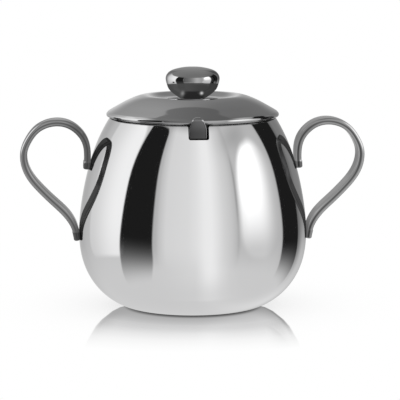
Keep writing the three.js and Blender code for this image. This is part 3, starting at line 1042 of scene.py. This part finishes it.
def tongue_room(g, view, point):
    """Painted shade and painted reflection: dark towards the viewer, a little lighter upwards and
    to the right.
    """
    az, el = view
    x, y, z = point
    front = az.band(-60.0, 60.0, 6.0)
    facing = z.rise(0.0835, 0.0895).mix(0.092, 0.165) * x.rise(-0.004, 0.0035).mix(0.92, 1.12)
    level = front.mix(0.50, facing)
    level = el.rise(14.0, 34.0).mix(level, az.band(-22.0, 25.0, 8.0).mix(1.4, 0.24))
    return el.rise(54.0, 62.0).mix(level, 1.0)


def knob_zones(el, point):
    """Height as seen from the front, the crown and the shaded underside."""
    seen = point[2] + point[1] * SIGHT_SLOPE
    crown = el.rise(31.0, 37.0).max(seen.rise(0.1077, 0.1084))
    return seen, crown, seen.fall(0.1019, 0.1025)


def knob_room(g, view, point):
    """Painted shade on the studio's reflection: dimmer in front and behind and nearly gone over
    crown and underside.
    """
    az, el = view
    crown, under = knob_zones(el, point)[1:]
    front = az.band(-40.0, 44.0, 3.0) * el.rise(-32.0, -22.0)
    level = front.mix(1.0, az.rise(-30.0, 44.0).mix(0.20, 0.60))
    behind = az.rise(133.0, 150.0).max(az.fall(-150.0, -128.0))
    right = az.band(86.0, 108.0, 3.0)
    low_left = az.band(-77.0, -39.0, 3.0) * el.fall(-10.0, -2.0)
    for zone, kept in ((behind, 0.62), (right, 0.06), (low_left, 0.15),
                       (crown, 0.03), (under, 0.06)):
        level = level * zone.mix(1.0, kept)
    return level


# (height seen from the front in mm, level) of the painted reflection of the ceiling over the
# knob's crown
KNOB_CEILING = [(100, .12), (104, .135), (106, .155), (107.5, .185), (108.5, .215),
                (110, .26), (112, .30)]


def knob_painted_reflection(g, view, point):
    """Painted reflection given off as glow: a plain soft ceiling over the crown; the dark lid and
    two small painted highlights under it.
    """
    az, el = view
    x, y = point[:2]
    seen, crown, under = knob_zones(el, point)
    ceiling = (seen / MM).curve(KNOB_CEILING)
    right = x.rise(0.0040, 0.0110) * seen.fall(0.1070, 0.1095)
    ceiling = ceiling * right.mix(1.0, 0.55)
    lid = az.rise(-60.0, 75.0).mix(0.064, 0.043)
    # painted shade round the neck and two painted highlight spots on the front
    neck = seen.fall(0.0980, 0.0990) * abs(x).fall(0.0040, 0.0054)
    lid = neck.mix(lid, 0.019)
    spots = (x.gauss(0.0035, 0.0007) * seen.gauss(0.0977, 0.0006) * 0.60
             + x.gauss(-0.0051, 0.0008) * seen.gauss(0.0977, 0.0009) * 0.17)
    lid = lid + spots * y.fall(-0.003, 0.0)
    return crown.mix(under * lid, ceiling)


def handle_dim(g, view, point):
    """What is left of the studio's reflection once the strap's own room, a painted reflection
    given off as glow, has its share; painted shade towards the viewer and at the roots.
    """
    az, el = view
    front = az.gauss(2.0, 52.0) * el.gauss(-8.0, 34.0)
    level = front.mix(1.0 - HANDLE_GLOW_SHARE, 0.03)
    level = level * (1.0 - abs(az).rise(115.0, 150.0) * 0.80)
    x, z = abs(point[0]), point[2]
    # painted shade at the roots beside the bowl and low on the strap
    roots = (x.fall(0.0523, 0.0600) * z.rise(0.055, 0.060)).max(z.fall(0.0354, 0.0440))
    return level * roots.mix(1.0, 0.35)


def handle_painted_reflection(side, *, inner, inner_high, outer, bright, bright_from, below, over, ridge,
                back, root, upper_foot, lower_foot):
    """Painted reflection given off as glow: grey on the side of the loop (inner), darkest towards
    the viewer (ridge), lighter out to the side (outer) and a painted highlight high up on the
    outside, from the bearing bright_from on. inner_high, root and the feet are shares kept there,
    as painted shade."""
    def room(g, view, point):
        az, el = view
        x, z = abs(point[0]), point[2]
        out_az = az * float(side)
        front = az.gauss(-15.0 * side, 36.0) * el.gauss(-8.0, 36.0)
        facing_in = inner * z.rise(0.0335, 0.0440).mix(0.40, 1.0)
        facing_in = facing_in * z.rise(0.058, 0.070).mix(1.0, inner_high)
        crown = out_az.curve([(-180, 0.0), (-25, 0.0), (15, .20), (45, outer * .80), (80, outer),
                              (120, outer * 1.05), (165, outer * .5), (180, 0.0)])
        inwards = out_az.fall(-30.0, 20.0).max(out_az.rise(160.0, 180.0))
        level = inwards.mix(crown, facing_in)
        behind = abs(az).rise(150.0, 168.0) * el.rise(4.5, 7.0)
        level = behind.mix(level, back)
        level = el.fall(-70.0, -20.0).mix(level, below)
        high = el.rise(-6.0, 12.0) * out_az.rise(bright_from, bright_from + 30.0)
        high = high * out_az.fall(125.0, 150.0) * el.fall(40.0, 56.0)
        level = high.mix(level, bright)
        level = el.rise(60.0, 84.0).mix(level, over)
        level = front.mix(level, ridge)
        # the roots sit in the bowl's shade
        near_bowl = x.fall(0.0530, 0.0620) * z.rise(0.055, 0.060)
        level = level * near_bowl.mix(1.0, root)
        # painted shade on the upper and lower feet
        top = x.fall(0.0523, 0.0529) * (z.fall(0.0668, 0.0674) * z.rise(0.055, 0.060))
        level = level * top.mix(1.0, upper_foot)
        return level * z.fall(0.0346, 0.0352).mix(1.0, lower_foot)
    return room


def handle_metal(name, side, **levels):
    return metal(name, (0.86, 0.86, 0.87), rough=0.06, grain="along", turned=1e-7, wear=0.05,
                 room_dim=handle_dim, seen_dim=0.30, painted_reflection=handle_painted_reflection(side, **levels),
                 painted_share=HANDLE_GLOW_SHARE)


bowl_mat = metal("bowl_polished_steel", (0.955, 0.955, 0.96), rough=0.045, grain="round",
                 turned=2e-8, waviness=2.5e-6, wear=0.03, room_dim=bowl_room,
                 satin=(bowl_satin, 0.27))
handle_mat_r = handle_metal(
    "handle_polished_steel_right", 1, inner=0.34, inner_high=0.90, outer=0.34, bright=0.95,
    bright_from=50.0, below=0.24, over=0.16, ridge=0.03, back=0.42, root=0.95,
    upper_foot=0.45, lower_foot=0.90)
handle_mat_l = handle_metal(
    "handle_polished_steel_left", -1, inner=0.255, inner_high=0.72, outer=0.22, bright=0.72,
    bright_from=60.0, below=0.10, over=0.18, ridge=0.10, back=0.46, root=0.75,
    upper_foot=0.55, lower_foot=0.45)
lid_mat = metal("lid_polished_steel", (0.90, 0.90, 0.905), rough=0.07, grain="round",
                turned=2e-8, waviness=2e-6, wear=0.04, room_dim=lid_room)
tongue_mat = metal("tongue_polished_steel", (0.86, 0.86, 0.87), rough=0.10, grain="along",
                   turned=1e-7, room_dim=tongue_room, seen_dim=3.5)
knob_mat = metal("knob_polished_steel", (0.92, 0.92, 0.925), rough=0.05, grain="round",
                 turned=2e-8, wear=0.04, room_dim=knob_room, painted_reflection=knob_painted_reflection,
                 painted_share=1.0)
ring_mat = metal("ring_satin_steel", (0.78, 0.78, 0.785), rough=0.24, grain="round",
                 turned=6e-7, shade=(0.010, 3.0, 1.2))
# the notch's cut edges get a dark colour and occlusion darkening: painted shade
notch_edge_shaded_mat = metal("cut_edge_shaded_steel", (0.30, 0.30, 0.31), rough=0.20, turned=4e-7,
                shade=(0.006, 1.5, 0.6))
fast_mat = metal("fastener_steel", (0.72, 0.72, 0.725), rough=0.22, grain="round",
                 turned=6e-7, wear=0.1)


def finish_piece(obj, mat, body, slot, node):
    obj.data.materials.clear()
    obj.data.materials.append(mat)
    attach(obj, body)
    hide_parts(node)


finish_piece(bowl, bowl_mat, "bowl", "bowl_polish", "bowl_body")
bowl.data.materials.append(notch_edge_shaded_mat)
for i in cut_faces:
    bowl.data.polygons[i].material_index = 1
for piece in (
    (handle_r, handle_mat_r, "bowl", "handle_polish", "handle_right"),
    (handle_l, handle_mat_l, "bowl", "handle_polish", "handle_left"),
    (lid_shell, lid_mat, "lid", "lid_polish", "lid_shell"),
    (lid_ring, ring_mat, "lid", "inner_steel", "lid_ring"),
    (tongue, tongue_mat, "lid", "lid_polish", "lid_tongue"),
    (knob, knob_mat, "lid", "knob_polish", "lid_knob"),
    (washer, fast_mat, "lid", "fastener_steel", "knob_washer"),
    (screw, fast_mat, "lid", "fastener_steel", "knob_screw"),
):
    finish_piece(*piece)

# ----------------------------------------------------------------------------
# Floor
# ----------------------------------------------------------------------------

FLOOR_R, FLOOR_Z = 3.0, -0.00005
# (height in mm, radius in tenths of a metre) of the bowl and lid as mirrored
MIRRORED_R = [
    (0, .2740), (1.2, .3356), (3.1, .3735), (7.0, .4232), (10.2, .4518), (17.5, .4950),
    (25.7, .5184), (34.2, .5250), (47, .5149), (59.5, .4912), (71.8, .4556), (83.4, .4029),
    (90, .380), (112, .0),
]
# (distance from the axis in mm, value)
MIRROR_FADE = [(26, 1.0), (50, 1.0), (61, .80), (73, .46), (86, .205), (98, .08), (110, .0),
               (200, .0)]
# the mirror image is darker close to the bowl: painted contact shade
MIRROR_LEVEL = [(26, .20), (29, .36), (31, .55), (34, .68), (42, .80), (52, 1.0), (80, 1.0)]
SHADOW = [(26, .55), (33, .34), (42, .25), (52, .19), (66, .10), (80, .04), (100, .0),
          (200, .0)]


def floor_material():
    """Pale floor that glows evenly, with a soft shadow and a mirror image of the bowl
    that fades outwards."""
    mat = bpy.data.materials.new("pale_floor")
    g = Graph(mat)
    geo = g.node("ShaderNodeNewGeometry").outputs
    x, y, _ = g.split(geo["Position"])
    dist = (x * x + y * y).sqrt()
    # where a mirrored sight line from this point of the floor meets the bowl
    to_x, to_y, to_z = g.split(geo["Incoming"])
    flat = (to_x * to_x + to_y * to_y).sqrt().max(0.001)
    near = (x * to_x + y * to_y) / (flat * flat)
    height = near * to_z
    miss = abs((x * to_y - y * to_x) / flat)
    bowl_r = (height / MM).curve(MIRRORED_R) * 0.1
    hit = (bowl_r - miss).rise(-0.0004, 0.0006) * near.rise(0.0, 0.004)

    fade = (dist / MM).curve(MIRROR_FADE)
    level = (dist / MM).curve(MIRROR_LEVEL)
    shadow = (dist / MM).curve(SHADOW)
    diffuse = g.node("ShaderNodeBsdfDiffuse", {"Color": (0.88, 0.88, 0.88, 1)})
    gloss = g.node("ShaderNodeBsdfGlossy", {"Color": g.colour(level, level, level),
                                            "Roughness": 0.03})
    glow = g.node("ShaderNodeEmission", {"Color": (1, 1, 1, 1), "Strength": 1.0})
    ground = g.mix_shader(shadow, glow.outputs[0], diffuse.outputs[0])
    # the mirror image weakens when looked down on
    sheen = g.mix_shader(fade * to_z.rise(0.22, 0.75).mix(1.0, 0.12), ground, gloss.outputs[0])
    surface = g.mix_shader(hit * dist.fall(0.112, 0.120), ground, sheen)
    # seen from underneath the floor is left open
    clear = g.node("ShaderNodeBsdfTransparent")
    one_sided = g.mix_shader(geo["Backfacing"], surface, clear.outputs[0])
    g.node("ShaderNodeOutputMaterial", {"Surface": one_sided})
    return mat


def build_floor():
    mesh = bpy.data.meshes.new("floor")
    bm = bmesh.new()
    bmesh.ops.create_circle(bm, cap_ends=True, segments=96, radius=FLOOR_R)
    bm.to_mesh(mesh)
    bm.free()
    floor = bpy.data.objects.new("floor", mesh)
    floor.location = (0, 0, FLOOR_Z)
    bpy.context.scene.collection.objects.link(floor)
    floor.visible_glossy = False
    mesh.materials.append(floor_material())


build_floor()

# ----------------------------------------------------------------------------
# Camera
# ----------------------------------------------------------------------------

CAMERA_ELEVATION = math.radians(8.0)
CAMERA_DISTANCE = 1.0
CAMERA_TARGET = Vector((0, 0, 0.045))
SENSOR_WIDTH, LENS = 36.0, 194.67       # millimetres
SHIFT_X, SHIFT_Y = 0.0185, 0.02         # shares of the sensor width


def build_camera():
    az, el = VIEW_AZIMUTH, CAMERA_ELEVATION
    to_camera = Vector((math.sin(az) * math.cos(el), -math.cos(az) * math.cos(el), math.sin(el)))
    data = bpy.data.cameras.new("camera")
    data.sensor_width = SENSOR_WIDTH
    data.lens = LENS
    data.shift_x, data.shift_y = SHIFT_X, SHIFT_Y
    data.clip_start, data.clip_end = 0.05, 20.0
    cam = bpy.data.objects.new("camera", data)
    cam.location = CAMERA_TARGET + to_camera * CAMERA_DISTANCE
    cam.rotation_mode = "QUATERNION"
    cam.rotation_quaternion = (-to_camera).to_track_quat("-Z", "Y")
    bpy.context.scene.collection.objects.link(cam)
    bpy.context.scene.camera = cam


build_camera()

bpy.context.scene.view_settings.view_transform = "Standard"
bpy.context.scene.view_settings.look = "None"
